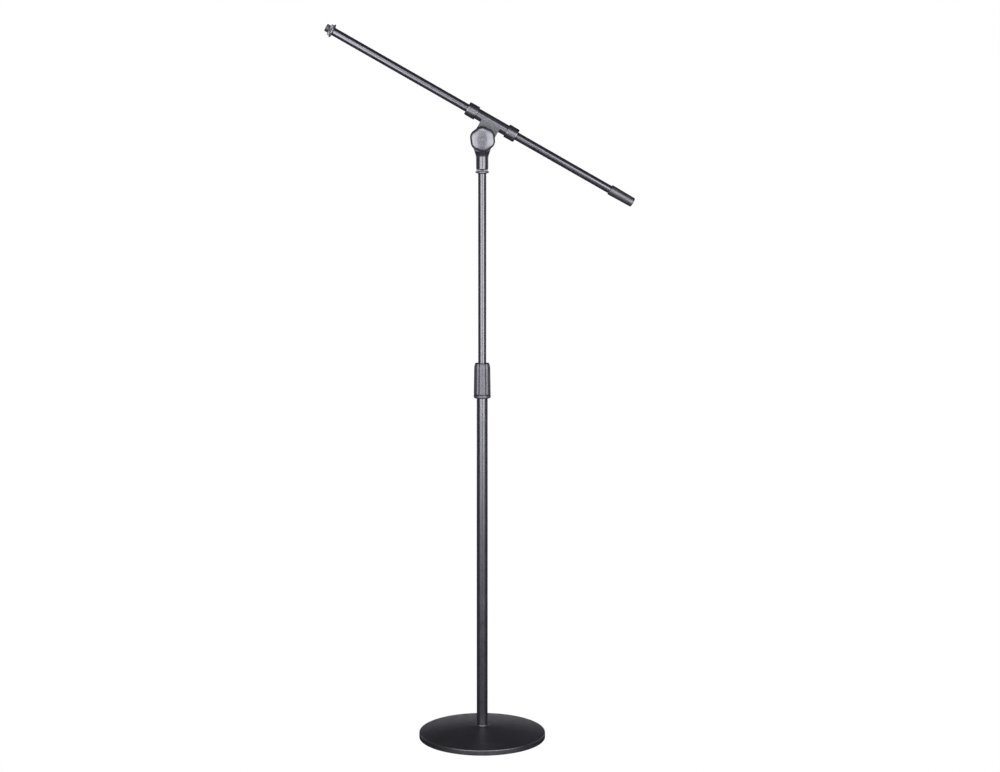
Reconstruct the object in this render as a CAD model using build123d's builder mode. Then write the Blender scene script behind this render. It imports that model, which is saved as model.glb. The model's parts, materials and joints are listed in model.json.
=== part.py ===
from build123d import *
from math import cos, radians, sin
import os

# Boom microphone stand: a round cast base, a two-piece telescopic column with a
# twist clutch, and a boom held in a tee clamp that tilts in a fork.
#
# Frame: Z up, millimetres. The origin is on the floor in the middle of the base.
# The front, with the clamping knob, faces -Y. The boom's tip points to -X and up.

# ---- Clearances ----
push_gap = 0.02  # radial, between pieces pressed or seated in one another
slide_gap = 0.1  # radial, a tube in its guide or collet
pivot_gap = 0.07  # radial, a turning piece on the pivot bolt
thread_gap = 0.3  # radial, a turning collar over a plain rod that stands for its thread
face_gap = 0.05  # between flat faces that rub on each other
ring_gap = 0.4  # each side of a lock ring that is run back

# ---- Base ----
base_diameter = 254.0
rim_height = 10.5
base_height = 26.0
dome_bulge = 1.6
base_wall = 10.0
rim_edge_radius = 2.2
rim_land_width = 24.0
collar_width = 1.2
collar_fillet = 3.0
boss_diameter = 40.0
boss_floor = 5.0
rib_count = 6
rib_width = 5.0
rib_clearance = 4.0

# ---- Rubber ring under the rim ----
pad_width = 10.0
pad_height = 5.0
pad_proud = 2.0
pad_inset = 5.0
pad_edge_radius = 1.2

# ---- Base bolt, M10 ----
base_bolt_diameter = 10.0
base_bolt_length = 32.0
base_bolt_flats = 17.0
base_bolt_head = 6.4
base_bolt_clearance = 0.5
base_bolt_ground_gap = 0.4  # from the head's face up to the casting's lower face
flat_washer_diameter = 24.0
flat_washer_height = 2.0
spring_washer_diameter = 18.0
spring_washer_height = 2.2
spring_washer_split = 2.0
foot_plug_length = 28.0

# ---- Tubes ----
lower_tube_length = 685.0
upper_tube_diameter = 16.0
upper_tube_length = 678.0
boom_tube_diameter = 16.0
boom_tube_length = 664.0
tube_wall = 1.2
tube_overlap = 248.0  # length of the upper tube that is inside the lower one

# ---- Guide bush on the upper tube's foot ----
guide_wall = 1.7
guide_length = 30.0
guide_lip = 3.0

# ---- Twist clutch ----
clutch_socket_depth = 12.0
clutch_ring_wall = 4.0  # beyond the sleeve
clutch_ring_height = 6.5
clutch_ring_round = 3.0
clutch_sleeve_wall = 2.0  # beyond the lower tube
clutch_lip_length = 19.0
clutch_lip_clearance = 0.4
cone_length = 13.0
cone_foot_step = 0.6
collet_length = 20.0
collet_slit = 1.6
collet_leaf_count = 4
grip_height = 61.9
grip_gap = 1.2
grip_foot_wall = 3.7
grip_waist_wall = 2.8
grip_top_wall = 0.9
grip_shoulder_height = 7.0
grip_edge_radius = 0.8
grip_groove_count = 6
grip_groove_width = 2.8
grip_groove_depth = 1.2

# ---- Threaded studs and lock rings, 5/8 in - 27 ----
stud_diameter = 15.875
stud_plug_length = 20.0
stud_chamfer = 1.0
flange_diameter = 27.0
column_flange_height = 4.4
column_stud_length = 20.6
boom_flange_height = 4.0
boom_stud_relief = 0.54  # depth of the turned neck under the lock ring
boom_stud_free_length = 7.6
lock_ring_diameter = 22.4
column_lock_ring_height = 3.4
boom_lock_ring_height = 4.8
lock_ring_chamfer = 0.6

# ---- Swivel base ----
swivel_height = 58.4  # from its lower face to the pivot
swivel_barrel_wall = 4.0  # around the stud
swivel_socket_spare = 1.5
neck_length = 14.0  # below the ears' lowest point, in the front view
neck_round = 4.0  # how far up the barrel's side line carries on before the neck widens
neck_top_share = 0.53  # how far the neck's top is below the pivot, in ear radii
yoke_floor = 2.0  # full-width metal under the slot
yoke_flare_height = 13.5
ear_margin = 2.15  # beyond the tee's round end
ear_thickness = 5.7
ear_edge_radius = 1.2
swing_room = 1.2  # between the tee's round end and the floor of the slot

# ---- Tee clamp ----
boom_tilt = 29.55  # degrees above level
boom_offset = 38.0  # from the pivot to the boom's axis
web_width = 39.7
web_inset = 0.4  # of each flat side from the barrel's own radius
web_fillet = 2.5
tee_barrel_wall = 1.8
tee_barrel_length = 66.6
tee_slit = 2.5
tee_bush_wall = 5.6
tee_bush_length = 21.7
tee_bush_sleeve_length = 18.0
tee_bush_sleeve_wall = 1.1
tee_bush_edge_radius = 0.8

# ---- Pivot bolt, knob and washers, M8 ----
pivot_bolt_diameter = 8.0
pivot_head_diameter = 20.0
pivot_head_height = 4.5
pivot_neck_length = 5.0
friction_washer_diameter = 32.0
friction_washer_height = 1.2
washer_bore_clearance = 0.3
knob_washer_diameter = 20.0
knob_washer_height = 1.6
knob_across_flats = 47.5
knob_corner_radius = 16.0
knob_turn = 7.0  # degrees, how far one flat is turned from facing +X
knob_head_depth = 15.5
knob_front_radius = 3.5
knob_back_radius = 2.0
knob_hub_diameter = 24.0
knob_hub_height = 4.0
knob_dish_diameter = 31.0
knob_dish_depth = 0.8
knob_insert_diameter = 13.0
knob_insert_length = 14.0
bolt_engagement = 12.0

# ---- Boom end cap ----
cap_length = 52.0
cap_end_wall = 6.0
cap_start_wall = 2.4
cap_end_overhang = 1.85  # of the round end beyond the tube
cap_chamfer = 1.5
cap_round = 2.5
tip_reach = 352.0  # from the middle of the tee to the flange of the boom's stud

# ---- Heights and radii that follow ----
base_radius = base_diameter / 2
base_bottom = pad_proud
rim_top = base_bottom + rim_height
base_top = base_bottom + base_height
base_bolt_head_top = base_bottom + base_bolt_ground_gap + base_bolt_head
flat_washer_bottom = base_bolt_head_top + spring_washer_height
boss_bottom = flat_washer_bottom + flat_washer_height
socket_floor = boss_bottom + boss_floor
upper_tube_radius = upper_tube_diameter / 2
upper_tube_bore = upper_tube_radius - tube_wall
lower_tube_bore = upper_tube_radius + guide_wall + slide_gap
lower_tube_radius = lower_tube_bore + tube_wall
lower_tube_top = socket_floor + lower_tube_length
socket_radius = lower_tube_radius + push_gap

clutch_bottom = lower_tube_top - clutch_socket_depth
cone_bottom = lower_tube_top + clutch_lip_length
cone_top = cone_bottom + cone_length
grip_bottom = clutch_bottom + clutch_ring_height + grip_gap
grip_top = grip_bottom + grip_height
clutch_sleeve_radius = lower_tube_radius + clutch_sleeve_wall
clutch_ring_radius = clutch_sleeve_radius + clutch_ring_wall

upper_tube_bottom = lower_tube_top - tube_overlap
upper_tube_top = upper_tube_bottom + upper_tube_length
collet_bore = upper_tube_radius + slide_gap
clutch_lip_bore = upper_tube_radius + clutch_lip_clearance
cone_foot_radius = clutch_lip_bore + cone_foot_step
cone_top_radius = lower_tube_radius
collet_bottom = cone_bottom + clutch_lip_clearance
collet_top = collet_bottom + collet_length

stud_radius = stud_diameter / 2
flange_radius = flange_diameter / 2
flange_top = upper_tube_top + column_flange_height
lock_ring_bottom = flange_top + ring_gap
swivel_bottom = lock_ring_bottom + column_lock_ring_height + ring_gap
pivot_z = swivel_bottom + swivel_height

boom_tube_radius = boom_tube_diameter / 2
boom_tube_bore = boom_tube_radius - tube_wall
boom_bore = boom_tube_radius + slide_gap
tee_sleeve_radius = boom_bore + tee_bush_sleeve_wall
tee_barrel_radius = tee_sleeve_radius + tee_barrel_wall
tee_bush_radius = boom_bore + tee_bush_wall

pivot_bolt_radius = pivot_bolt_diameter / 2
tongue_face = tee_barrel_radius - web_inset
ear_inner_face = tongue_face + friction_washer_height + face_gap
ear_outer_face = ear_inner_face + ear_thickness
knob_back = ear_outer_face + knob_washer_height + face_gap
knob_shoulder = knob_back + knob_hub_height
slot_floor = web_width / 2 + swing_room
ear_radius = web_width / 2 + ear_margin
neck_top = pivot_z - ear_radius * neck_top_share
neck_foot = pivot_z - ear_radius - neck_length

tube_tail = tip_reach - boom_tube_length

# ---- Planes and axes ----
tilt = radians(boom_tilt)
boom_direction = Vector(-cos(tilt), 0, sin(tilt))
boom_normal = Vector(sin(tilt), 0, cos(tilt))
pivot_point = Vector(0, 0, pivot_z)
tee_centre = pivot_point + boom_normal * boom_offset
boom_axis = Axis(tee_centre, boom_direction)

# Sections of turned pieces: local X is the radius, local Y runs along the axis.
column_section = Plane.XZ
boom_section = Plane(tee_centre, x_dir=boom_normal, z_dir=(0, -1, 0))

# Front views at the pivot: one square to the column, one square to the boom.
front_view = Plane(pivot_point, x_dir=(1, 0, 0), z_dir=(0, -1, 0))
tee_view = Plane(pivot_point, x_dir=-boom_direction, z_dir=(0, -1, 0))

# Across the boom, looking back from the tip. Local Z runs towards the tip.
boom_cross = Plane(tee_centre, x_dir=boom_normal, z_dir=boom_direction)


def circle_edges(piece, radius):
    """The circular edges of a piece that have this radius."""
    circles = piece.edges().filter_by(GeomType.CIRCLE)
    return circles.filter_by(lambda edge: abs(edge.radius - radius) < 0.01)


def turned_blank(outline, section, axis):
    """A solid turned about an axis from a closed outline of (radius, length) points."""
    with BuildPart() as blank:
        with BuildSketch(section):
            with BuildLine():
                Polyline(*outline, close=True)
            make_face()
        revolve(axis=axis)
    return blank.part


def tube(radius, bore, start_plane, length):
    """A plain tube that starts on a plane and runs along its normal."""
    with BuildPart() as body:
        with BuildSketch(start_plane):
            Circle(radius)
            Circle(bore, mode=Mode.SUBTRACT)
        extrude(amount=length)
    return body.part


def save(piece, name):
    """Label a finished piece and write its file."""
    piece.label = name
    export_step(piece, f"parts/{name}.step")


os.makedirs("parts", exist_ok=True)


# ==== Base ====

# The hollow under the dome, with the radial ribs and the middle boss left standing.
hollow_radius = base_radius - rim_land_width
boss_radius = boss_diameter / 2
with BuildPart() as base_hollow:
    with BuildSketch(column_section):
        with BuildLine():
            Polyline(
                (0, 0),
                (hollow_radius, 0),
                (hollow_radius, rim_top - base_wall + dome_bulge),
                (boss_radius, base_top - base_wall),
                (boss_radius, boss_bottom),
                (0, boss_bottom),
                close=True,
            )
        make_face()
    revolve(axis=Axis.Z)
    with BuildSketch(Plane.XY.offset(base_bottom + rib_clearance)):
        with PolarLocations(boss_radius + hollow_radius / 2, rib_count):
            Rectangle(hollow_radius, rib_width)
    extrude(amount=base_height, mode=Mode.SUBTRACT)

collar_radius = socket_radius + collar_width
collar_foot = collar_radius + collar_fillet
dome_foot = base_top - collar_fillet
dome_crown = (dome_foot + rim_top) / 2 + 2 * dome_bulge
with BuildPart() as base_casting:
    with BuildSketch(column_section):
        with BuildLine():
            RadiusArc((collar_radius, base_top), (collar_foot, dome_foot), -collar_fillet)
            Bezier(
                (collar_foot, dome_foot),
                ((collar_foot + base_radius) / 2, dome_crown),
                (base_radius, rim_top),
            )
            Polyline(
                (base_radius, rim_top),
                (base_radius, base_bottom),
                (0, base_bottom),
                (0, base_top),
                (collar_radius, base_top),
            )
        make_face()
    revolve(axis=Axis.Z)
    fillet(circle_edges(base_casting, base_radius).sort_by(Axis.Z)[-1], rim_edge_radius)
    add(base_hollow.part, mode=Mode.SUBTRACT)
    # Socket for the column and hole for the bolt
    with BuildSketch(Plane.XY.offset(socket_floor)):
        Circle(socket_radius)
    extrude(amount=base_top - socket_floor, mode=Mode.SUBTRACT)
    with BuildSketch(Plane.XY.offset(boss_bottom)):
        Circle(base_bolt_diameter / 2 + base_bolt_clearance)
    extrude(amount=boss_floor, mode=Mode.SUBTRACT)
    # Groove for the rubber ring
    pad_outer = base_radius - pad_inset
    pad_inner = pad_outer - pad_width
    with BuildSketch(Plane.XY.offset(base_bottom)):
        Circle(pad_outer + push_gap)
        Circle(pad_inner - push_gap, mode=Mode.SUBTRACT)
    extrude(amount=pad_height - pad_proud, mode=Mode.SUBTRACT)
save(base_casting.part, "base_casting")

with BuildPart() as rubber_ring:
    add(tube(pad_outer, pad_inner, Plane.XY, pad_height))
    fillet(rubber_ring.edges().group_by(Axis.Z)[0], pad_edge_radius)
save(rubber_ring.part, "rubber_ring")

# The bolt's stack, from the boss downwards: flat washer, spring washer, head.
base_washer_bore = base_bolt_diameter / 2 + washer_bore_clearance
base_washer = tube(
    flat_washer_diameter / 2, base_washer_bore, Plane.XY.offset(flat_washer_bottom), flat_washer_height
)
save(base_washer, "base_washer")

with BuildPart() as base_spring_washer:
    add(
        tube(
            spring_washer_diameter / 2,
            base_washer_bore,
            Plane.XY.offset(base_bolt_head_top),
            spring_washer_height,
        )
    )
    with BuildSketch(Plane.XY.offset(base_bolt_head_top)):
        with Locations((spring_washer_diameter / 2, 0)):
            Rectangle(spring_washer_diameter, spring_washer_split)
    extrude(amount=spring_washer_height, mode=Mode.SUBTRACT)
save(base_spring_washer.part, "base_spring_washer")

with BuildPart() as base_bolt:
    with BuildSketch(Plane.XY.offset(base_bolt_head_top - base_bolt_head)):
        RegularPolygon(base_bolt_flats / 2, 6, major_radius=False)
    extrude(amount=base_bolt_head)
    chamfer(base_bolt.faces().sort_by(Axis.Z)[0].edges(), 0.8)
    with BuildSketch(Plane.XY.offset(base_bolt_head_top)):
        Circle(base_bolt_diameter / 2)
    extrude(amount=base_bolt_length)
    chamfer(base_bolt.faces().sort_by(Axis.Z)[-1].edges(), 1)
save(base_bolt.part, "base_bolt")

# ==== Lower tube and its foot ====

tube_foot_plug = tube(
    lower_tube_bore - push_gap,
    base_bolt_diameter / 2 + push_gap,
    Plane.XY.offset(socket_floor),
    foot_plug_length,
)
save(tube_foot_plug, "tube_foot_plug")

lower_tube = tube(lower_tube_radius, lower_tube_bore, Plane.XY.offset(socket_floor), lower_tube_length)
save(lower_tube, "lower_tube")

# ==== Twist clutch ====

# The body is pressed over the lower tube. Its cone seat closes the collet.
with BuildPart() as clutch_body:
    add(
        turned_blank(
            [
                (socket_radius, clutch_bottom),
                (clutch_ring_radius, clutch_bottom),
                (clutch_ring_radius, clutch_bottom + clutch_ring_height),
                (clutch_sleeve_radius, clutch_bottom + clutch_ring_height),
                (clutch_sleeve_radius, cone_top),
                (cone_top_radius, cone_top),
                (cone_foot_radius, cone_bottom),
                (clutch_lip_bore, cone_bottom),
                (clutch_lip_bore, lower_tube_top),
                (socket_radius, lower_tube_top),
            ],
            column_section,
            Axis.Z,
        )
    )
    ring_edges = circle_edges(clutch_body, clutch_ring_radius).sort_by(Axis.Z)
    fillet(ring_edges[0], clutch_ring_round)
    fillet(circle_edges(clutch_body, clutch_ring_radius).sort_by(Axis.Z)[-1], grip_edge_radius)
save(clutch_body.part, "clutch_body")

# The collet is a split ring. Its leaves are cut from below and one slit goes right through.
cone_slope = (cone_top_radius - cone_foot_radius) / cone_length
collet_foot_radius = cone_foot_radius + cone_slope * (collet_bottom - cone_bottom) - push_gap
with BuildPart() as clutch_collet:
    add(
        turned_blank(
            [
                (collet_bore, collet_bottom),
                (collet_foot_radius, collet_bottom),
                (cone_top_radius - push_gap, cone_top),
                (cone_top_radius - push_gap, collet_top),
                (collet_bore, collet_top),
            ],
            column_section,
            Axis.Z,
        )
    )
    with BuildSketch(Plane.XY.offset(collet_bottom)):
        with PolarLocations(cone_top_radius, collet_leaf_count):
            Rectangle(cone_top_radius, collet_slit)
    extrude(amount=cone_length, mode=Mode.SUBTRACT)
    with BuildSketch(Plane.XY.offset(collet_bottom)):
        with Locations((cone_top_radius, 0)):
            Rectangle(cone_top_radius, collet_slit)
    extrude(amount=collet_length, mode=Mode.SUBTRACT)
save(clutch_collet.part, "clutch_collet")

# The grip turns on the body's sleeve, and its inner shoulder sits over the collet.
grip_bore = clutch_sleeve_radius + thread_gap
grip_foot_radius = grip_bore + grip_foot_wall
grip_waist_radius = grip_bore + grip_waist_wall
grip_top_radius = grip_bore + grip_top_wall
grip_waist = grip_top - grip_shoulder_height
grip_shoulder = collet_top + face_gap

# Narrow flutes, as deep at the foot as at the waist, between broad lands.
with BuildPart() as grip_flutes:
    add(
        turned_blank(
            [
                (grip_foot_radius - grip_groove_depth, grip_bottom),
                (2 * grip_foot_radius, grip_bottom),
                (2 * grip_foot_radius, grip_top),
                (grip_top_radius - grip_groove_depth / 2, grip_top),
                (grip_waist_radius - grip_groove_depth, grip_waist),
            ],
            column_section,
            Axis.Z,
        )
    )
    with BuildSketch(Plane.XY.offset(grip_bottom)):
        with PolarLocations(grip_foot_radius, grip_groove_count):
            Rectangle(grip_foot_radius, grip_groove_width)
    extrude(amount=grip_height, mode=Mode.INTERSECT)

with BuildPart() as clutch_grip:
    add(
        turned_blank(
            [
                (grip_bore, grip_bottom),
                (grip_foot_radius, grip_bottom),
                (grip_waist_radius, grip_waist),
                (grip_top_radius, grip_top),
                (clutch_lip_bore, grip_top),
                (clutch_lip_bore, grip_shoulder),
                (grip_bore, grip_shoulder),
            ],
            column_section,
            Axis.Z,
        )
    )
    fillet(circle_edges(clutch_grip, grip_foot_radius), grip_edge_radius)
    fillet(circle_edges(clutch_grip, grip_top_radius), grip_edge_radius)
    add(grip_flutes.part, mode=Mode.SUBTRACT)
save(clutch_grip.part, "clutch_grip")

# ==== Upper tube, its guide and its stud ====

# The guide bush is a cup on the tube's foot that runs in the lower tube.
guide_bush = turned_blank(
    [
        (upper_tube_bore, upper_tube_bottom - guide_lip),
        (lower_tube_bore - slide_gap, upper_tube_bottom - guide_lip),
        (lower_tube_bore - slide_gap, upper_tube_bottom - guide_lip + guide_length),
        (upper_tube_radius + push_gap, upper_tube_bottom - guide_lip + guide_length),
        (upper_tube_radius + push_gap, upper_tube_bottom),
        (upper_tube_bore, upper_tube_bottom),
    ],
    column_section,
    Axis.Z,
)
save(guide_bush, "guide_bush")

upper_tube = tube(upper_tube_radius, upper_tube_bore, Plane.XY.offset(upper_tube_bottom), upper_tube_length)
save(upper_tube, "upper_tube")

with BuildPart() as top_stud:
    stud_top = flange_top + column_stud_length
    add(
        turned_blank(
            [
                (0, upper_tube_top - stud_plug_length),
                (upper_tube_bore - push_gap, upper_tube_top - stud_plug_length),
                (upper_tube_bore - push_gap, upper_tube_top),
                (upper_tube_radius, upper_tube_top),
                (flange_radius, upper_tube_top + column_flange_height / 2),
                (flange_radius, flange_top),
                (stud_radius, flange_top),
                (stud_radius, stud_top),
                (0, stud_top),
            ],
            column_section,
            Axis.Z,
        )
    )
    chamfer(top_stud.faces().sort_by(Axis.Z)[-1].edges(), stud_chamfer)
save(top_stud.part, "top_stud")


def lock_ring(start_plane, height):
    """A thin round nut that stands clear of its stud's thread."""
    with BuildPart() as ring:
        add(tube(lock_ring_diameter / 2, stud_radius + thread_gap, start_plane, height))
        chamfer(circle_edges(ring, lock_ring_diameter / 2), lock_ring_chamfer)
    return ring.part


top_lock_ring = lock_ring(Plane.XY.offset(lock_ring_bottom), column_lock_ring_height)
save(top_lock_ring, "top_lock_ring")

# ==== Swivel base ====

# The front view has a slim neck under round ears. Turned about the column, the neck
# flares out below the slot to carry both ears. The slot's flat floor lets the tee's web
# swing level to either side.
barrel_radius = stud_radius + push_gap + swivel_barrel_wall
neck_top_radius = ear_radius * (1 - neck_top_share**2) ** 0.5
yoke_top = pivot_z - slot_floor - yoke_floor
yoke_foot = yoke_top - yoke_flare_height
ears_top = pivot_z + ear_radius
with BuildPart() as ear_blank:
    with BuildSketch(front_view):
        Circle(ear_radius)
    extrude(amount=ear_outer_face, both=True)
    fillet(circle_edges(ear_blank, ear_radius), ear_edge_radius)

with BuildPart() as swivel_base:
    with BuildSketch(front_view):
        with BuildLine():
            Polyline(
                (0, neck_top - pivot_z),
                (0, -swivel_height),
                (barrel_radius, -swivel_height),
                (barrel_radius, neck_foot - pivot_z),
            )
            Bezier(
                (barrel_radius, neck_foot - pivot_z),
                (barrel_radius, neck_foot + neck_round - pivot_z),
                (neck_top_radius, neck_top - pivot_z),
            )
            Line((neck_top_radius, neck_top - pivot_z), (0, neck_top - pivot_z))
        make_face()
        mirror(about=Plane.YZ)
    extrude(amount=ear_outer_face, both=True)
    add(ear_blank.part)
    with BuildSketch(column_section):
        with BuildLine():
            Polyline((0, swivel_bottom), (barrel_radius, swivel_bottom), (barrel_radius, yoke_foot))
            TangentArc((barrel_radius, yoke_foot), (ear_radius, yoke_top), tangent=(0, 1))
            Polyline(
                (ear_radius, yoke_top),
                (2 * ear_radius, yoke_top),
                (2 * ear_radius, ears_top),
                (0, ears_top),
                (0, swivel_bottom),
            )
        make_face()
    revolve(axis=Axis.Z, mode=Mode.INTERSECT)
    with BuildSketch(Plane.XY.offset(pivot_z - slot_floor)):
        Rectangle(3 * ear_radius, 2 * ear_inner_face)
    extrude(amount=slot_floor + ear_radius, mode=Mode.SUBTRACT)
    chamfer(swivel_base.faces().sort_by(Axis.Z)[0].edges(), 0.8)
    # Socket for the stud, bolt hole and the square seat of the bolt's neck
    with BuildSketch(Plane.XY.offset(swivel_bottom)):
        Circle(stud_radius + push_gap)
    extrude(amount=column_stud_length + swivel_socket_spare, mode=Mode.SUBTRACT)
    with BuildSketch(front_view):
        Circle(pivot_bolt_radius + washer_bore_clearance)
    extrude(amount=2 * ear_outer_face, mode=Mode.SUBTRACT)
    neck_side = pivot_bolt_diameter + 2 * push_gap
    with BuildSketch(front_view):
        Rectangle(neck_side, neck_side)
    extrude(amount=-2 * ear_outer_face, mode=Mode.SUBTRACT)
save(swivel_base.part, "swivel_base")

# ==== Pivot ====

# Two friction washers fill the slot on either side of the tongue.
washer_bore = pivot_bolt_radius + washer_bore_clearance
front_washer_plane = front_view.offset(ear_inner_face - friction_washer_height)
friction_washer_front = tube(
    friction_washer_diameter / 2, washer_bore, front_washer_plane, friction_washer_height
)
save(friction_washer_front, "friction_washer_front")
rear_washer_plane = front_view.offset(-ear_inner_face)
friction_washer_rear = tube(
    friction_washer_diameter / 2, washer_bore, rear_washer_plane, friction_washer_height
)
save(friction_washer_rear, "friction_washer_rear")

with BuildPart() as pivot_bolt:
    with BuildSketch(front_view.offset(-ear_outer_face - pivot_head_height)):
        Circle(pivot_head_diameter / 2)
    extrude(amount=pivot_head_height)
    fillet(circle_edges(pivot_bolt, pivot_head_diameter / 2).sort_by(Axis.Y)[-1], pivot_head_height * 0.8)
    with BuildSketch(front_view.offset(-ear_outer_face)):
        Rectangle(pivot_bolt_diameter, pivot_bolt_diameter)
    extrude(amount=pivot_neck_length)
    with BuildSketch(front_view.offset(-ear_outer_face)):
        Circle(pivot_bolt_radius)
    extrude(amount=ear_outer_face + knob_back + bolt_engagement)
    chamfer(pivot_bolt.faces().sort_by(Axis.Y)[0].edges(), 0.8)
save(pivot_bolt.part, "pivot_bolt")

knob_washer = tube(
    knob_washer_diameter / 2, washer_bore, front_view.offset(ear_outer_face), knob_washer_height
)
save(knob_washer, "knob_washer")

with BuildPart() as knob_insert:
    with BuildSketch(front_view.offset(knob_back)):
        Circle(knob_insert_diameter / 2)
    extrude(amount=knob_insert_length)
    with BuildSketch(front_view.offset(knob_back)):
        Circle(pivot_bolt_radius + pivot_gap)
    extrude(amount=bolt_engagement + 1, mode=Mode.SUBTRACT)
save(knob_insert.part, "knob_insert")

# A six-sided head with soft corners on a round hub. The face is shallowly dished.
with BuildPart() as knob:
    knob_face = knob_shoulder + knob_head_depth
    with BuildSketch(front_view.offset(knob_shoulder)) as knob_outline:
        RegularPolygon(knob_across_flats / 2, 6, major_radius=False, rotation=knob_turn + 30)
        fillet(knob_outline.vertices(), knob_corner_radius)
    extrude(amount=knob_head_depth)
    fillet(knob.faces().sort_by(Axis.Y)[0].edges(), knob_front_radius)
    fillet(knob.faces().sort_by(Axis.Y)[-1].edges(), knob_back_radius)
    with BuildSketch(front_view.offset(knob_back)):
        Circle(knob_hub_diameter / 2)
    extrude(amount=knob_hub_height)
    with BuildSketch(front_view.offset(knob_face - knob_dish_depth)):
        Circle(knob_dish_diameter / 2)
    extrude(amount=knob_dish_depth, mode=Mode.SUBTRACT)
    with BuildSketch(front_view.offset(knob_back)):
        Circle(knob_insert_diameter / 2 + push_gap)
    extrude(amount=knob_insert_length, mode=Mode.SUBTRACT)
save(knob.part, "knob")

# ==== Tee clamp ====

# The tongue and web are one plate under a round barrel. A slit up the middle lets the
# knob close the barrel on the boom as it squeezes the tongue.
with BuildPart() as tee_clamp:
    with BuildSketch(tee_view):
        with Locations((0, boom_offset / 2)):
            Rectangle(web_width, boom_offset)
        Circle(web_width / 2)
    extrude(amount=tongue_face, both=True)
    with BuildSketch(boom_cross.offset(-tee_barrel_length / 2)):
        Circle(tee_barrel_radius)
    extrude(amount=tee_barrel_length)
    barrel_joins = circle_edges(tee_clamp, tee_barrel_radius).filter_by(
        lambda edge: abs((edge.arc_center - tee_centre).length - web_width / 2) < 0.01
    )
    fillet(barrel_joins, web_fillet)
    with BuildSketch(boom_cross.offset(-tee_barrel_length / 2)):
        Circle(tee_sleeve_radius + push_gap)
    extrude(amount=tee_barrel_length, mode=Mode.SUBTRACT)
    with BuildSketch(front_view):
        Circle(pivot_bolt_radius + pivot_gap)
    extrude(amount=tongue_face, both=True, mode=Mode.SUBTRACT)
    with BuildSketch(tee_view):
        with Locations((0, 0)):
            Rectangle(2 * tee_barrel_length, 2 * boom_offset)
    extrude(amount=tee_slit / 2, both=True, mode=Mode.SUBTRACT)
save(tee_clamp.part, "tee_clamp")


def tee_bush(side):
    """A collar with a sleeve that is pressed into one end of the tee's barrel."""
    barrel_end = side * tee_barrel_length / 2
    bush_end = barrel_end + side * tee_bush_length
    sleeve_end = barrel_end - side * tee_bush_sleeve_length
    with BuildPart() as bush:
        add(
            turned_blank(
                [
                    (boom_bore, sleeve_end),
                    (tee_sleeve_radius, sleeve_end),
                    (tee_sleeve_radius, barrel_end),
                    (tee_bush_radius, barrel_end),
                    (tee_bush_radius, bush_end),
                    (boom_bore, bush_end),
                ],
                boom_section,
                boom_axis,
            )
        )
        fillet(circle_edges(bush, tee_bush_radius), tee_bush_edge_radius)
    return bush.part


tee_bush_tip = tee_bush(1)
save(tee_bush_tip, "tee_bush_tip")
tee_bush_tail = tee_bush(-1)
save(tee_bush_tail, "tee_bush_tail")

# ==== Boom ====

boom_tube = tube(boom_tube_radius, boom_tube_bore, boom_cross.offset(tube_tail), boom_tube_length)
save(boom_tube, "boom_tube")

# The thread's end stands past the lock ring. Under the ring the stud is relieved.
boom_flange_end = tip_reach + boom_flange_height
boom_ring_start = boom_flange_end + ring_gap / 2
thread_start = boom_ring_start + boom_lock_ring_height + ring_gap / 2
stud_end = thread_start + boom_stud_free_length
boom_stud = turned_blank(
    [
        (0, tip_reach - stud_plug_length),
        (boom_tube_bore - push_gap, tip_reach - stud_plug_length),
        (boom_tube_bore - push_gap, tip_reach),
        (boom_tube_radius, tip_reach),
        (flange_radius, tip_reach + boom_flange_height / 3),
        (flange_radius, boom_flange_end),
        (stud_radius - boom_stud_relief, boom_flange_end),
        (stud_radius - boom_stud_relief, thread_start),
        (stud_radius, thread_start),
        (stud_radius, stud_end - stud_chamfer),
        (stud_radius - stud_chamfer, stud_end),
        (0, stud_end),
    ],
    boom_section,
    boom_axis,
)
save(boom_stud, "boom_stud")

boom_lock_ring = lock_ring(boom_cross.offset(boom_ring_start), boom_lock_ring_height)
save(boom_lock_ring, "boom_lock_ring")

# The cap is pushed over the tail. Its bore is the tube's own diameter.
cap_end = tube_tail - cap_end_wall
cap_start = cap_end + cap_length
cap_start_radius = boom_tube_radius + cap_start_wall
cap_end_radius = boom_tube_radius + cap_end_overhang
with BuildPart() as boom_end_cap:
    add(
        turned_blank(
            [
                (0, cap_end),
                (cap_end_radius, cap_end),
                (cap_start_radius, cap_start),
                (boom_tube_radius + push_gap, cap_start),
                (boom_tube_radius + push_gap, tube_tail),
                (0, tube_tail),
            ],
            boom_section,
            boom_axis,
        )
    )
    fillet(circle_edges(boom_end_cap, cap_end_radius), cap_round)
    chamfer(circle_edges(boom_end_cap, cap_start_radius), cap_chamfer)
save(boom_end_cap.part, "boom_end_cap")
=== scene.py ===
import json
from math import atan, atan2, cos, pi, radians, sin, sqrt, tan, tau

import bmesh
import bpy
from bpy.props import FloatProperty, FloatVectorProperty, IntProperty, PointerProperty
from mathutils import Matrix, Vector


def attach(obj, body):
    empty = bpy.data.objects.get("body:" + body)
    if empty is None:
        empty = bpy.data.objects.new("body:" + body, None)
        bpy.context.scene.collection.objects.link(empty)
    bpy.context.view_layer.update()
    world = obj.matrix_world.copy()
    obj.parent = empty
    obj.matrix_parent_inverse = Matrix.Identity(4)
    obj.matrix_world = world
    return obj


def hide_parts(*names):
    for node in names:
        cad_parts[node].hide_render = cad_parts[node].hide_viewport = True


bl_info = {
    "name": "Boom Microphone Stand",
    "version": (1, 0, 0),
    "blender": (4, 5, 0),
    "location": "View3D > Sidebar > Stand",
    "description": "Finishes, fine fittings and a studio for a round-base boom microphone stand",
    "category": "Add Mesh",
}

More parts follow.
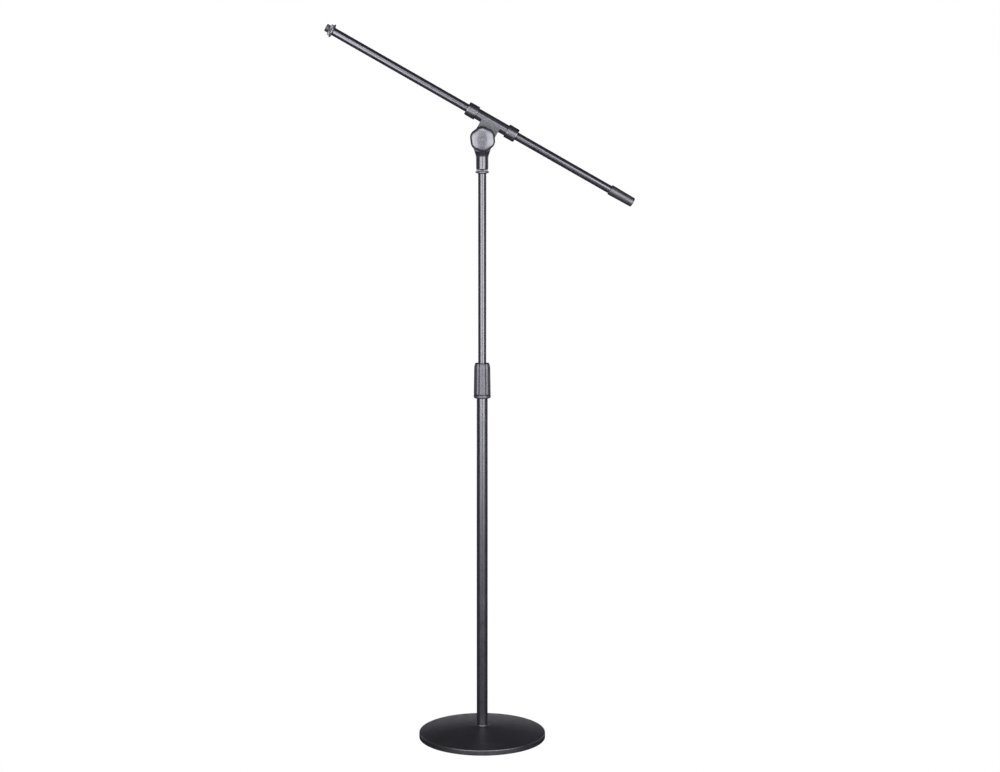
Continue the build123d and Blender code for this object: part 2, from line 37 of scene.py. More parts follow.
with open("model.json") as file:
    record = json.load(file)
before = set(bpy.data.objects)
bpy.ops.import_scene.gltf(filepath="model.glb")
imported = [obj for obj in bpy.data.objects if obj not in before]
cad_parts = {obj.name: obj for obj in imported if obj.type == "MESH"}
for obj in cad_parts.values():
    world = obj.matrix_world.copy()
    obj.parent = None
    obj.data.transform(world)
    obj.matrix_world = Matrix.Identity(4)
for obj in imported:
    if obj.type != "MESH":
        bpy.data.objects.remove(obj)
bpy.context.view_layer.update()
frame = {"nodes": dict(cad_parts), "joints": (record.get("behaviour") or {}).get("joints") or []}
MM = 0.001


# ---- Where things are ----


def along(origin, axis, across):
    """A place whose Z runs along an axis and whose X is the given cross direction."""
    z = Vector(axis).normalized()
    x = Vector(across)
    x = (x - z * x.dot(z)).normalized()
    turn = Matrix((x, z.cross(x), z)).transposed().to_4x4()
    return Matrix.Translation(Vector(origin)) @ turn


def joint(name):
    """The record of one joint."""
    return next(j for j in frame["joints"] if j["name"] == name)


COLUMN = Matrix.Identity(4)
PIVOT = along(joint("boom_tilt")["pos_m"], (0, -1, 0), (1, 0, 0))
BOOM = along(joint("boom_turn")["pos_m"], joint("boom_turn")["axis"], (0, 0, 1))


def extent(node, place):
    """Start, end and greatest radius of a CAD node, measured along a place's Z axis."""
    into = place.inverted()
    points = [into @ vertex.co for vertex in frame["nodes"][node].data.vertices]
    heights = [p.z for p in points]
    return min(heights), max(heights), max(p.xy.length for p in points)


# ---- Sizes and colours a user would change ----


def linear(code):
    """Linear RGBA of an sRGB hex colour."""
    values = [int(code[i : i + 2], 16) / 255 for i in (1, 3, 5)]
    return [v / 12.92 if v <= 0.04045 else ((v + 0.055) / 1.055) ** 2.4 for v in values] + [1.0]


def size(name, description, millimetres):
    """A length property with its default in millimetres."""
    return FloatProperty(
        name=name,
        description=description,
        default=millimetres * MM,
        min=0,
        unit="LENGTH",
        precision=4,
    )


def colour(name, description, code):
    """A colour property with its default as sRGB hex."""
    return FloatVectorProperty(
        name=name,
        description=description,
        default=linear(code),
        size=4,
        min=0,
        max=1,
        subtype="COLOR",
    )


class StandSizes(bpy.types.PropertyGroup):
    """Fine sizes of the stand's fittings"""

    thread_pitch: size("Thread pitch", "Pitch of the 5/8 in - 27 studs", 0.9407)
    thread_depth: size("Thread depth", "Depth of the studs' thread", 0.5)
    bolt_pitch: size("Bolt pitch", "Pitch of the M10 base bolt", 1.5)
    knurl_depth: size("Knurl depth", "Depth of the lock rings' knurl", 0.45)
    knurl_teeth: IntProperty(
        name="Knurl teeth", description="Teeth round a lock ring", default=64, min=12
    )
    flute_width: size("Flute width", "Width of the grip's flutes", 6.4)
    flute_depth: size("Flute depth", "Depth of the grip's flutes", 2.0)
    flute_count: IntProperty(name="Flutes", description="Flutes round the grip", default=6, min=3)
    knob_corner: size("Knob corner", "Corner radius of the six-sided knob", 16.0)
    knob_dish: size("Knob dish", "Diameter of the round middle of the knob's face", 31.0)
    tube_edge: size("Tube edge", "Rounding of the tubes' cut ends", 0.35)
    tread_depth: size("Tread depth", "Depth of the rubber ring's grooves", 0.7)


class StandColours(bpy.types.PropertyGroup):
    """Colours of the stand's finishes"""

    iron: colour("Cast base", "Powder coat on the cast-iron base", "#0f0f11")
    tube: colour("Tubes", "Satin coat on the tubes", "#101013")
    casting: colour("Castings", "Satin coat on the die castings", "#131316")
    clutch: colour("Clutch", "Glass-filled nylon of the clutch", "#131317")
    nylon: colour("Collars", "Nylon of the tee's collars and washers", "#101012")
    knob: colour("Knob", "Gloss ABS of the knob", "#131316")
    rubber: colour("Rubber", "Rubber of the base ring and end cap", "#131314")
    oxide: colour("Black oxide", "Blackened steel of studs and rings", "#232325")
    zinc: colour("Zinc plate", "Bright zinc on bolt and washers", "#c6c9cf")
    brass: colour("Brass", "Turned brass of the knob's insert", "#c9a45c")
    acetal: colour("Acetal", "Natural acetal of collet and bush", "#e9e5da")
    bare: colour("Worn edge", "Bare metal where the coat has worn", "#6e6e72")


class StudioSettings(bpy.types.PropertyGroup):
    """Camera, lights and floor"""

    distance: FloatProperty(
        name="Distance", description="Camera to column, along Y", default=3.921, unit="LENGTH"
    )
    aside: FloatProperty(
        name="Aside", description="Camera left of the column", default=0.10, unit="LENGTH"
    )
    height: FloatProperty(
        name="Height", description="Camera above the floor", default=1.2235, unit="LENGTH"
    )
    tilt: FloatProperty(
        name="Tilt",
        description="How far the camera looks down",
        default=radians(6.825),
        subtype="ANGLE",
    )
    lens: FloatProperty(
        name="Lens", description="Focal length on a 36 mm sensor", default=72.0, min=10
    )
    shift: FloatProperty(name="Shift", description="Sideways lens shift", default=0.0178)
    rise: FloatProperty(name="Rise", description="Upward lens shift", default=-0.0196)
    softbox_power: FloatProperty(
        name="Softboxes", description="Power of each front softbox", default=138, unit="POWER"
    )
    rear_power: FloatProperty(
        name="Rear light", description="Power of each rear softbox", default=9, unit="POWER"
    )
    horizon_power: FloatProperty(
        name="Horizon", description="Power of the low card at the back", default=6, unit="POWER"
    )
    floor_radius: FloatProperty(
        name="Floor radius", description="Radius of the floor", default=14, unit="LENGTH"
    )
    floor: colour("Floor", "Pale studio floor", "#f4f4f4")


# ---- Materials ----


def add_node(tree, kind, settings=None, links=None):
    """Add a node, set its properties and sockets, and link its inputs from other outputs."""
    node = tree.nodes.new(kind)
    for key, value in (settings or {}).items():
        if isinstance(key, str) and hasattr(node, key):
            setattr(node, key, value)
        else:
            node.inputs[key].default_value = value
    for key, output in (links or {}).items():
        tree.links.new(output, node.inputs[key])
    return node


def new_material(name):
    """An empty node material with its tree and output node."""
    material = bpy.data.materials.new(name)
    material.use_nodes = True
    material.node_tree.nodes.clear()
    return material, material.node_tree, add_node(material.node_tree, "ShaderNodeOutputMaterial")


def per_metre(millimetres):
    """The scale of a pattern whose cells have this size."""
    return 1 / (millimetres * MM)


def scaled(hue, factor):
    """A linear colour made lighter or darker."""
    return [channel * factor for channel in hue[:3]] + [1.0]


def edge_mask(tree, width_mm, breakup):
    """1 along outside edges within a width, broken up by a noise, else 0."""
    rounded_over = add_node(tree, "ShaderNodeBevel", {"samples": 4, "Radius": width_mm * MM})
    geometry = add_node(tree, "ShaderNodeNewGeometry")
    agreement = add_node(
        tree,
        "ShaderNodeVectorMath",
        {"operation": "DOT_PRODUCT"},
        {0: rounded_over.outputs["Normal"], 1: geometry.outputs["Normal"]},
    )
    edge = add_node(
        tree,
        "ShaderNodeMapRange",
        {"From Min": 0.96, "From Max": 0.80},
        {"Value": agreement.outputs["Value"]},
    )
    ragged = add_node(
        tree, "ShaderNodeMapRange", {"From Min": 0.42, "From Max": 0.62}, {"Value": breakup}
    )
    worn = add_node(
        tree,
        "ShaderNodeMath",
        {"operation": "MULTIPLY"},
        {0: edge.outputs["Result"], 1: ragged.outputs["Result"]},
    )
    return worn.outputs["Value"]


def coated(
    name, hue, worn, roughness, grain_mm, relief_mm, wear, speckle=0.0, streak=0.0, lie=COLUMN
):
    """A pigmented coat over metal: cloudy tone, grain in relief, hairlines, and rubbed edges.

    A coat's own grain is near 0.1 mm, too fine to show, so its cells are drawn coarser."""
    material, tree, output = new_material(name)
    where = add_node(tree, "ShaderNodeTexCoord").outputs["Object"]
    clouds = add_node(
        tree, "ShaderNodeTexNoise", {"Scale": per_metre(60), "Detail": 3.0}, {"Vector": where}
    )
    grain = add_node(
        tree,
        "ShaderNodeTexNoise",
        {"Scale": per_metre(grain_mm), "Detail": 3.0, "Roughness": 0.65},
        {"Vector": where},
    ).outputs["Fac"]
    smudges = add_node(
        tree,
        "ShaderNodeTexNoise",
        {"Scale": per_metre(18), "Detail": 4.0, "Roughness": 0.6},
        {"Vector": where},
    ).outputs["Fac"]

    cloudy = add_node(
        tree,
        "ShaderNodeMapRange",
        {"From Min": 0.35, "From Max": 0.65},
        {"Value": clouds.outputs["Fac"]},
    )
    tone = add_node(
        tree,
        "ShaderNodeMix",
        {"data_type": "RGBA", 6: scaled(hue, 0.86), 7: scaled(hue, 1.16)},
        {0: cloudy.outputs["Result"]},
    )
    dots = add_node(
        tree,
        "ShaderNodeMapRange",
        {"From Min": 0.56, "From Max": 0.72, "To Max": speckle},
        {"Value": grain},
    )
    speckled = add_node(
        tree,
        "ShaderNodeMix",
        {"data_type": "RGBA", 7: scaled(hue, 2.4)},
        {0: dots.outputs["Result"], 6: tone.outputs[2]},
    )
    rubbed = add_node(
        tree,
        "ShaderNodeMath",
        {"operation": "MULTIPLY", 1: wear},
        {0: edge_mask(tree, 0.6, smudges)},
    )
    colour_out = add_node(
        tree,
        "ShaderNodeMix",
        {"data_type": "RGBA", 7: worn},
        {0: rubbed.outputs["Value"], 6: speckled.outputs[2]},
    )

    # Hairlines run along the place's Z axis: 2 mm apart and 80 mm long.
    stretched = add_node(
        tree,
        "ShaderNodeMapping",
        {"vector_type": "TEXTURE", "Rotation": lie.to_euler(), "Scale": (1, 1, 40)},
        {"Vector": where},
    )
    hair = add_node(
        tree,
        "ShaderNodeTexNoise",
        {"Scale": per_metre(2), "Detail": 2.0},
        {"Vector": stretched.outputs["Vector"]},
    )
    hairlines = add_node(
        tree,
        "ShaderNodeMapRange",
        {"From Min": 0.35, "From Max": 0.65, "To Min": -streak, "To Max": streak},
        {"Value": hair.outputs["Fac"]},
    )
    handled = add_node(
        tree,
        "ShaderNodeMapRange",
        {"From Min": 0.3, "From Max": 0.7, "To Min": roughness - 0.04, "To Max": roughness + 0.05},
        {"Value": smudges},
    )
    rough = add_node(
        tree,
        "ShaderNodeMath",
        {"operation": "ADD"},
        {0: handled.outputs["Result"], 1: hairlines.outputs["Result"]},
    )
    relief = add_node(
        tree, "ShaderNodeBump", {"Strength": 1.0, "Distance": relief_mm * MM}, {"Height": grain}
    )
    surface = add_node(
        tree,
        "ShaderNodeBsdfPrincipled",
        {"IOR": 1.5},
        {
            "Base Color": colour_out.outputs[2],
            "Roughness": rough.outputs["Value"],
            "Normal": relief.outputs["Normal"],
        },
    )
    tree.links.new(surface.outputs["BSDF"], output.inputs["Surface"])
    return material


def moulded(name, hue, roughness, grain_mm, relief_mm, ior=1.53, mottle=0.12, coat=0.0):
    """A solid moulded plastic or rubber: faint flow clouds, a fine eroded mould texture, and
    edges polished paler by handling."""
    material, tree, output = new_material(name)
    where = add_node(tree, "ShaderNodeTexCoord").outputs["Object"]
    flow = add_node(
        tree,
        "ShaderNodeTexNoise",
        {"Scale": per_metre(22), "Detail": 3.0, "Distortion": 0.8},
        {"Vector": where},
    )
    grain = add_node(
        tree,
        "ShaderNodeTexNoise",
        {"Scale": per_metre(grain_mm), "Detail": 2.0, "Roughness": 0.6},
        {"Vector": where},
    )
    handled = add_node(
        tree,
        "ShaderNodeTexNoise",
        {"Scale": per_metre(9), "Detail": 4.0, "Roughness": 0.6},
        {"Vector": where},
    ).outputs["Fac"]
    cloudy = add_node(
        tree,
        "ShaderNodeMapRange",
        {"From Min": 0.35, "From Max": 0.65},
        {"Value": flow.outputs["Fac"]},
    )
    tone = add_node(
        tree,
        "ShaderNodeMix",
        {"data_type": "RGBA", 6: scaled(hue, 1 - mottle), 7: scaled(hue, 1 + mottle)},
        {0: cloudy.outputs["Result"]},
    )
    polished = add_node(
        tree,
        "ShaderNodeMath",
        {"operation": "MULTIPLY", 1: 0.35},
        {0: edge_mask(tree, 0.5, handled)},
    )
    colour_out = add_node(
        tree,
        "ShaderNodeMix",
        {"data_type": "RGBA", 7: scaled(hue, 2.2)},
        {0: polished.outputs["Value"], 6: tone.outputs[2]},
    )
    rough = add_node(
        tree,
        "ShaderNodeMapRange",
        {"From Min": 0.3, "From Max": 0.7, "To Min": roughness - 0.05, "To Max": roughness + 0.07},
        {"Value": handled},
    )
    relief = add_node(
        tree,
        "ShaderNodeBump",
        {"Strength": 1.0, "Distance": relief_mm * MM},
        {"Height": grain.outputs["Fac"]},
    )
    surface = add_node(
        tree,
        "ShaderNodeBsdfPrincipled",
        {"IOR": ior, "Coat Weight": coat, "Coat Roughness": 0.08},
        {
            "Base Color": colour_out.outputs[2],
            "Roughness": rough.outputs["Result"],
            "Normal": relief.outputs["Normal"],
        },
    )
    tree.links.new(surface.outputs["BSDF"], output.inputs["Surface"])
    return material


def bare_metal(name, hue, roughness, spangle_mm, relief_mm):
    """Bare or plated metal: full metal with a faint spangle and a slightly uneven haze."""
    material, tree, output = new_material(name)
    where = add_node(tree, "ShaderNodeTexCoord").outputs["Object"]
    spangle = add_node(
        tree, "ShaderNodeTexVoronoi", {"Scale": per_metre(spangle_mm)}, {"Vector": where}
    )
    haze = add_node(
        tree,
        "ShaderNodeTexNoise",
        {"Scale": per_metre(7), "Detail": 4.0, "Roughness": 0.6},
        {"Vector": where},
    ).outputs["Fac"]
    facets = add_node(
        tree, "ShaderNodeMapRange", {"From Max": 0.8}, {"Value": spangle.outputs["Distance"]}
    )
    tone = add_node(
        tree,
        "ShaderNodeMix",
        {"data_type": "RGBA", 6: scaled(hue, 0.88), 7: scaled(hue, 1.06)},
        {0: facets.outputs["Result"]},
    )
    dulled = add_node(
        tree,
        "ShaderNodeMapRange",
        {"From Min": 0.55, "From Max": 0.8, "To Max": 0.35},
        {"Value": haze},
    )
    colour_out = add_node(
        tree,
        "ShaderNodeMix",
        {"data_type": "RGBA", 7: scaled(hue, 0.6)},
        {0: dulled.outputs["Result"], 6: tone.outputs[2]},
    )
    rough = add_node(
        tree,
        "ShaderNodeMapRange",
        {"From Min": 0.3, "From Max": 0.7, "To Min": roughness - 0.06, "To Max": roughness + 0.1},
        {"Value": haze},
    )
    relief = add_node(
        tree, "ShaderNodeBump", {"Strength": 1.0, "Distance": relief_mm * MM}, {"Height": haze}
    )
    surface = add_node(
        tree,
        "ShaderNodeBsdfPrincipled",
        {"Metallic": 1.0},
        {
            "Base Color": colour_out.outputs[2],
            "Roughness": rough.outputs["Result"],
            "Normal": relief.outputs["Normal"],
        },
    )
    tree.links.new(surface.outputs["BSDF"], output.inputs["Surface"])
    return material


def finish(name):
    """The stand's named finish, made the first time it is asked for."""
    if name in bpy.data.materials:
        return bpy.data.materials[name]
    hue = bpy.context.scene.stand_colours
    if name == "powder_coated_cast_iron":
        # Sand-cast iron under a fine-texture coat: matt, with a sandy bite and paler grains.
        return coated(name, hue.iron, hue.bare, 0.42, 3.0, 0.015, 0.1, speckle=0.25)
    if name == "powder_coated_steel_tube":
        # Drawn tube under a fine-texture coat: broad soft highlight broken by small grain.
        return coated(name, hue.tube, hue.bare, 0.31, 2.2, 0.006, 0.5, speckle=0.2)
    if name == "satin_lacquered_steel_tube":
        # Drawn tube under smooth satin lacquer: a clean highlight with hairlines along it.
        return coated(name, hue.tube, hue.bare, 0.255, 3.0, 0.002, 0.5, streak=0.03)
    if name == "satin_lacquered_boom_tube":
        # The same lacquer on the boom, its hairlines along the boom.
        return coated(name, hue.tube, hue.bare, 0.255, 3.0, 0.002, 0.5, streak=0.03, lie=BOOM)
    if name == "coated_die_casting":
        # Die-cast aluminium under satin coat: slightly orange-peeled, rubbed at its edges.
        return coated(name, hue.casting, hue.bare, 0.28, 3.0, 0.004, 0.4, speckle=0.06)
    if name == "black_oxide_steel":
        # Turned steel, blackened in a hot salt bath: deep satin black, brighter on crests.
        return coated(name, hue.oxide, hue.bare, 0.33, 1.6, 0.002, 0.5)
    if name == "glass_filled_nylon":
        # Moulded with a spark-eroded skin: satin, with a faint fibre bloom.
        return moulded(name, hue.clutch, 0.5, 1.4, 0.004, mottle=0.16)
    if name == "moulded_nylon":
        # Plain moulded nylon: waxy satin.
        return moulded(name, hue.nylon, 0.32, 1.6, 0.004)
    if name == "gloss_abs":
        # Polished mould: glossy skin with slight sink ripples.
        return moulded(name, hue.knob, 0.32, 5.0, 0.03, mottle=0.1, coat=0.1)
    if name == "moulded_rubber":
        # Matt vulcanised rubber with a powdery bloom.
        return moulded(name, hue.rubber, 0.62, 1.8, 0.02, ior=1.52, mottle=0.18)
    if name == "soft_vinyl":
        # Dip-moulded vinyl: satin, smoother than rubber.
        return moulded(name, hue.rubber, 0.4, 2.4, 0.004, ior=1.47)
    if name == "natural_acetal":
        # Moulded acetal: slick, milky white.
        return moulded(name, hue.acetal, 0.3, 2.0, 0.005, ior=1.48, mottle=0.03)
    if name == "bright_zinc_plate":
        # Barrel-plated steel: bright with a cold haze.
        return bare_metal(name, hue.zinc, 0.26, 1.2, 0.004)
    if name == "turned_brass":
        # Turned brass, slightly dulled.
        return bare_metal(name, hue.brass, 0.28, 1.0, 0.003)
    raise ValueError(f"no finish is named {name}")


# ---- Meshes ----


def rounded(corners, steps=4):
    """A closed outline from (radius, height, rounding) corners, each rounding a short curve."""
    points = []
    for index, (radius, height, rounding) in enumerate(corners):
        here = Vector((radius, height))
        if rounding == 0:
            points.append(here)
            continue
        back = Vector(corners[index - 1][:2]) - here
        ahead = Vector(corners[(index + 1) % len(corners)][:2]) - here
        start = here + back.normalized() * min(rounding, back.length * 0.49)
        end = here + ahead.normalized() * min(rounding, ahead.length * 0.49)
        for step in range(steps + 1):
            t = step / steps
            points.append(start.lerp(here, t).lerp(here.lerp(end, t), t))
    return points


def closer(points, longest):
    """The same outline with extra points so that no run is longer than a length."""
    out = []
    for one, two in zip(points, points[1:] + points[:1]):
        count = max(1, round((two - one).length / longest))
        out += [one.lerp(two, k / count) for k in range(count)]
    return out


def turned(outline, segments=96, wave=None):
    """A mesh turned about Z from a closed outline. wave(angle, radius, height) gives the
    radius at an angle. Points on the axis become poles."""
    mesh = bmesh.new()
    rings = []
    for radius, height in outline:
        if radius < 1e-7:
            rings.append([mesh.verts.new((0, 0, height))])
            continue
        ring = []
        for k in range(segments):
            angle = tau * k / segments
            reach = wave(angle, radius, height) if wave else radius
            ring.append(mesh.verts.new((reach * cos(angle), reach * sin(angle), height)))
        rings.append(ring)
    for one, two in zip(rings, rings[1:] + rings[:1]):
        if len(one) == len(two) == 1:
            continue
        for k in range(segments):
            after = (k + 1) % segments
            corners = [
                one[k % len(one)],
                one[after % len(one)],
                two[after % len(two)],
                two[k % len(two)],
            ]
            mesh.faces.new(list(dict.fromkeys(corners)))
    bmesh.ops.recalc_face_normals(mesh, faces=mesh.faces)
    return mesh


def place_piece(mesh, name, place, material, body, nodes, sharp=38):
    """Turn a mesh into a named piece that rides on a body in place of CAD nodes."""
    data = bpy.data.meshes.new(name)
    mesh.transform(place)
    for face in mesh.faces:
        face.smooth = True
    mesh.to_mesh(data)
    mesh.free()
    data.set_sharp_from_angle(angle=radians(sharp))
    data.materials.append(finish(material))
    piece = bpy.data.objects.new(name, data)
    bpy.context.scene.collection.objects.link(piece)
    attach(piece, body)
    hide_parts(*nodes)


def dress(node, material):
    """Give a CAD node its finish."""
    piece = frame["nodes"][node]
    piece.data.materials.clear()
    piece.data.materials.append(finish(material))


def tube_outline(start, end, radius, wall, edge):
    """A tube with softly rounded ends."""
    return rounded(
        [
            (radius - wall, start, edge),
            (radius, start, edge),
            (radius, end, edge),
            (radius - wall, end, edge),
        ]
    )


def helix(pitch, depth, start, end, crest):
    """A wave that cuts a thread into the part of a turned piece between two heights."""

    def radius_at(angle, radius, height):
        if radius < crest - depth - 1e-6 or not start < height < end:
            return radius
        turn = (height / pitch - angle / tau) % 1
        groove = 1 - abs(2 * turn - 1)
        fade = min(1.0, (height - start) / pitch, (end - height) / pitch)
        return radius - depth * fade * groove

    return radius_at


def hexagon_reach(angle, flat, corner):
    """Distance from the middle to a six-sided outline with round corners; flat is half
    the width across flats."""
    inner = flat - corner
    centre = inner / cos(pi / 6)
    off = abs((angle + pi / 6) % (pi / 3) - pi / 6)
    if off <= atan(inner * tan(pi / 6) / flat):
        return flat / cos(off)
    beside = pi / 6 - off
    return centre * cos(beside) + sqrt(corner**2 - (centre * sin(beside)) ** 2)


def smooth(x):
    """An eased step from 0 to 1."""
    x = min(max(x, 0.0), 1.0)
    return x * x * (3 - 2 * x)


# ---- The stand, piece by piece ----

# Sizes that the fine pieces share with the CAD pieces they stand in for.
TUBE_RADIUS = 8 * MM  # upper tube and boom
TUBE_WALL = 1.2 * MM
STUD_RADIUS = 7.9375 * MM  # 5/8 in across the crests
STUD_PLUG = 6.78 * MM  # plain end of a stud, inside its tube
STUD_CHAMFER = 1 * MM


class STAND_OT_base(bpy.types.Operator):
    """Cast base, its rubber ring and the bolt that holds the column"""

    bl_idname = "stand.base"
    bl_label = "Base"

    def execute(self, context):
        sizes = context.scene.stand_sizes
        dress("base_casting", "powder_coated_cast_iron")
        dress("tube_foot_plug", "bright_zinc_plate")
        for node in ("base_washer", "base_spring_washer"):
            dress(node, "bright_zinc_plate")

        start, end, outer = extent("rubber_ring", COLUMN)
        inner = outer - 10 * MM
        spacing, half_groove = 2.5 * MM, 0.55 * MM
        grooves = []
        for k in (1, 2, 3):
            middle = outer - spacing * k
            grooves += [
                (middle + half_groove, start, 0.15 * MM),
                (middle, start + sizes.tread_depth, 0.2 * MM),
                (middle - half_groove, start, 0.15 * MM),
            ]
        ring = [(outer, end, 0.1 * MM), (outer, start, 1.2 * MM), *grooves]
        ring += [(inner, start, 1.2 * MM), (inner, end, 0.1 * MM)]
        place_piece(
            turned(rounded(ring), 192),
            "rubber_foot_ring",
            COLUMN,
            "moulded_rubber",
            "stand",
            ["rubber_ring"],
        )

        start, end, _ = extent("base_bolt", COLUMN)
        head, flats, shank = 6.4 * MM, 17 * MM, 5 * MM  # M10 hexagon head
        head_top = start + head
        corner = flats / 2 / cos(pi / 6)
        chamfer = 1 * MM
        outline = rounded(
            [
                (0, start, 0),
                (flats / 2 - 0.3 * MM, start, 0.2 * MM),
                (corner, start + 1.6 * MM, 0),
                (corner, head_top - 0.2 * MM, 0.15 * MM),
                (shank, head_top, 0.1 * MM),
                (shank, end - chamfer, 0.1 * MM),
                (shank - chamfer, end, 0.1 * MM),
                (0, end, 0),
            ]
        )
        thread = helix(sizes.bolt_pitch, 0.8 * MM, head_top + 4 * MM, end, shank)

        def hexagon(angle, radius, height):
            if height > head_top - 0.05 * MM and radius < shank + 0.1 * MM:
                return thread(angle, radius, height)
            return min(radius, hexagon_reach(angle, flats / 2, 0.6 * MM))

        place_piece(
            turned(closer(outline, sizes.bolt_pitch / 6), 96, hexagon),
            "base_hex_bolt",
            COLUMN,
            "bright_zinc_plate",
            "stand",
            ["base_bolt"],
        )
        return {"FINISHED"}


class STAND_OT_tubes(bpy.types.Operator):
    """Lower and upper column tubes and the boom tube"""

    bl_idname = "stand.tubes"
    bl_label = "Tubes"

    def execute(self, context):
        edge = context.scene.stand_sizes.tube_edge
        for node, name, place, body, material in (
            ("lower_tube", "column_tube_lower", COLUMN, "stand", "powder_coated_steel_tube"),
            ("upper_tube", "column_tube_upper", COLUMN, "column", "satin_lacquered_steel_tube"),
            ("boom_tube", "boom_tube_body", BOOM, "boom", "satin_lacquered_boom_tube"),
        ):
            start, end, radius = extent(node, place)
            outline = closer(tube_outline(start, end, radius, TUBE_WALL, edge), 60 * MM)
            place_piece(turned(outline, 96), name, place, material, body, [node])
        return {"FINISHED"}


class STAND_OT_clutch(bpy.types.Operator):
    """Twist clutch: ring, fluted grip, collet and the guide on the inner tube"""

    bl_idname = "stand.clutch"
    bl_label = "Clutch"

    def execute(self, context):
        sizes = context.scene.stand_sizes
        dress("clutch_collet", "natural_acetal")
        dress("guide_bush", "natural_acetal")
        dress("clutch_body", "glass_filled_nylon")

        start, end, radius = extent("clutch_grip", COLUMN)
        bore, neck = 13.3 * MM, 8.4 * MM  # round the clutch body, and round the upper tube
        lip = extent("clutch_collet", COLUMN)[1] + 0.05 * MM
        waist = end - 7 * MM
        outline = rounded(
            [
                (bore, start, 0.3 * MM),
                (radius, start, 0.8 * MM),
                (radius - 0.9 * MM, waist, 3.5 * MM),
                (radius - 2.8 * MM, end, 1.2 * MM),
                (neck, end, 0.5 * MM),
                (neck, lip, 0.2 * MM),
                (bore, lip, 0.2 * MM),
            ]
        )

        def fluted(angle, reach, height):
            """Flutes in the outside only, shallower and fading out towards the top."""
            in_bore = reach < bore + 0.25 * MM and height < end - 1 * MM
            if in_bore or reach < bore - 2 * MM:
                return reach
            spacing = tau / sizes.flute_count
            off = abs((angle + spacing / 2) % spacing - spacing / 2) * reach
            share = 1 - smooth(off / (sizes.flute_width / 2))
            shallow = 1 - 0.5 * smooth((height - waist) / (end - waist))
            outer = smooth((reach - bore - 0.2 * MM) / (0.6 * MM))
            if height > waist:
                outer = smooth((reach - neck - 3 * MM) / (1.5 * MM))
            return reach - sizes.flute_depth * share * shallow * outer

        place_piece(
            turned(closer(outline, 3 * MM), 360, fluted),
            "clutch_twist_grip",
            COLUMN,
            "glass_filled_nylon",
            "clutch_grip",
            ["clutch_grip"],
            sharp=50,
        )
        return {"FINISHED"}


def stud_thread(sizes, start, end):
    """A wave that threads a stud and leaves its flange alone."""
    thread = helix(sizes.thread_pitch, sizes.thread_depth, start, end, STUD_RADIUS)

    def cut(angle, radius, height):
        return thread(angle, radius, height) if radius < STUD_RADIUS + 1e-5 else radius

    return cut


def knurled_ring(node, name, place, body, sizes):
    """A thin round nut with a straight knurl on its rim."""
    start, end, radius = extent(node, place)
    bore = 8.24 * MM  # clears the stud's crests by 0.3 mm
    outline = rounded(
        [
            (bore, start, 0.4 * MM),
            (radius, start, 0.5 * MM),
            (radius, end, 0.9 * MM),
            (bore, end, 0.4 * MM),
        ]
    )

    def knurl(angle, reach, height):
        if reach < radius - 0.6 * MM:
            return reach
        tooth = 0.5 - 0.5 * cos(angle * sizes.knurl_teeth)
        return reach - sizes.knurl_depth * tooth

    mesh = turned(closer(outline, 1 * MM), sizes.knurl_teeth * 6, knurl)
    place_piece(mesh, name, place, "black_oxide_steel", body, [node], sharp=50)


class STAND_OT_swivel(bpy.types.Operator):
    """Fork on top of the column with its stud, lock ring, pivot bolt and washers"""

    bl_idname = "stand.swivel"
    bl_label = "Swivel"

    def execute(self, context):
        sizes = context.scene.stand_sizes
        dress("swivel_base", "coated_die_casting")
        dress("pivot_bolt", "black_oxide_steel")
        dress("friction_washer_front", "moulded_nylon")
        dress("friction_washer_rear", "moulded_nylon")
        dress("knob_washer", "bright_zinc_plate")
        knurled_ring("top_lock_ring", "column_lock_nut", COLUMN, "column_lock_ring", sizes)

        start, end, flange = extent("top_stud", COLUMN)
        tube_top = extent("upper_tube", COLUMN)[1]
        ring_room = 0.4 * MM  # between the flange and the lock ring
        flange_height = extent("top_lock_ring", COLUMN)[0] - ring_room - tube_top
        outline = rounded(
            [
                (0, start, 0),
                (STUD_PLUG, start, 0.4 * MM),
                (STUD_PLUG, tube_top, 0),
                (TUBE_RADIUS, tube_top, 0),
                (flange, tube_top + flange_height / 2, 0.4 * MM),
                (flange, tube_top + flange_height, 0.5 * MM),
                (STUD_RADIUS, tube_top + flange_height, 0.1 * MM),
                (STUD_RADIUS, end - STUD_CHAMFER, 0),
                (STUD_RADIUS - STUD_CHAMFER, end, 0.1 * MM),
                (0, end, 0),
            ]
        )
        foot = tube_top + flange_height + 0.2 * MM
        thread = stud_thread(sizes, foot, end)

        place_piece(
            turned(closer(outline, sizes.thread_pitch / 5), 80, thread),
            "column_threaded_stud",
            COLUMN,
            "black_oxide_steel",
            "column",
            ["top_stud"],
        )
        return {"FINISHED"}


